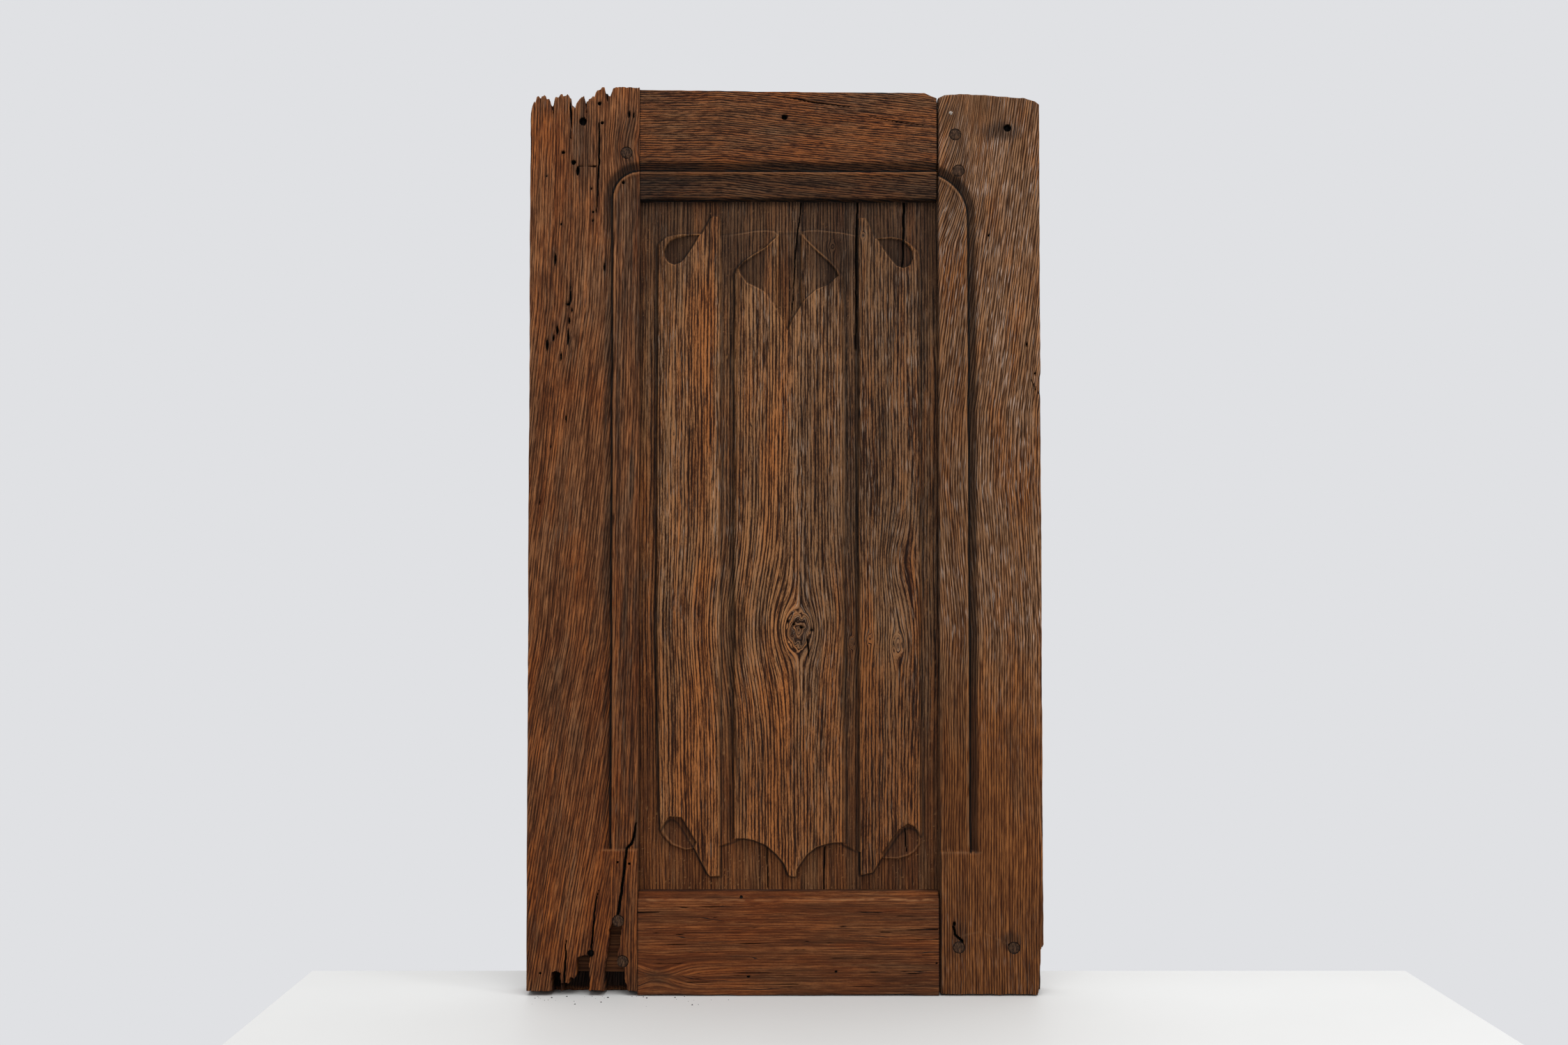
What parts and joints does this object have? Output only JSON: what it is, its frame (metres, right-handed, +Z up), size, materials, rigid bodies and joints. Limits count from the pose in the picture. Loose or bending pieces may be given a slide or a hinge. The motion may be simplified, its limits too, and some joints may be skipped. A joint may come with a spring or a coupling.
{
  "type": "carved linenfold panel in an oak frame",
  "caption": "Upright oak frame with a carved linenfold panel, a stopped moulding round its sides and top, a chamfered lower rail, and a ragged, decayed stile.",
  "frame": {"origin": "under the middle of the frame, on the plane it stands on", "axes": "+Z up along the stiles, -Y out of the carved face, +Y out of the back, +X to the viewer's right when facing the carving"},
  "size_m": [0.478, 0.036, 0.8464],
  "materials": {
    "left_stile": "old waxed oak, worn satin",
    "right_stile": "old oak, dry and worn",
    "top_rail": "old oak, dry and worn",
    "bottom_rail": "old waxed oak, worn satin",
    "linenfold_panel": "old oak, open grain, worn on the folds",
    "pegs": "dark oak end grain",
    "nail": "worn wrought iron"
  },
  "bodies": {
    "root": {"left_stile": "left_stile", "right_stile": "right_stile", "top_rail": "top_rail", "bottom_rail": "bottom_rail", "linenfold_panel": "linenfold_panel", "peg_top_left": "pegs", "peg_top_right_upper": "pegs", "peg_top_right_lower": "pegs", "peg_bottom_left_upper": "pegs", "peg_bottom_left_lower": "pegs", "peg_bottom_right_inner": "pegs", "peg_bottom_right_outer": "pegs", "nail": "nail"}
  },
  "joints": []
}
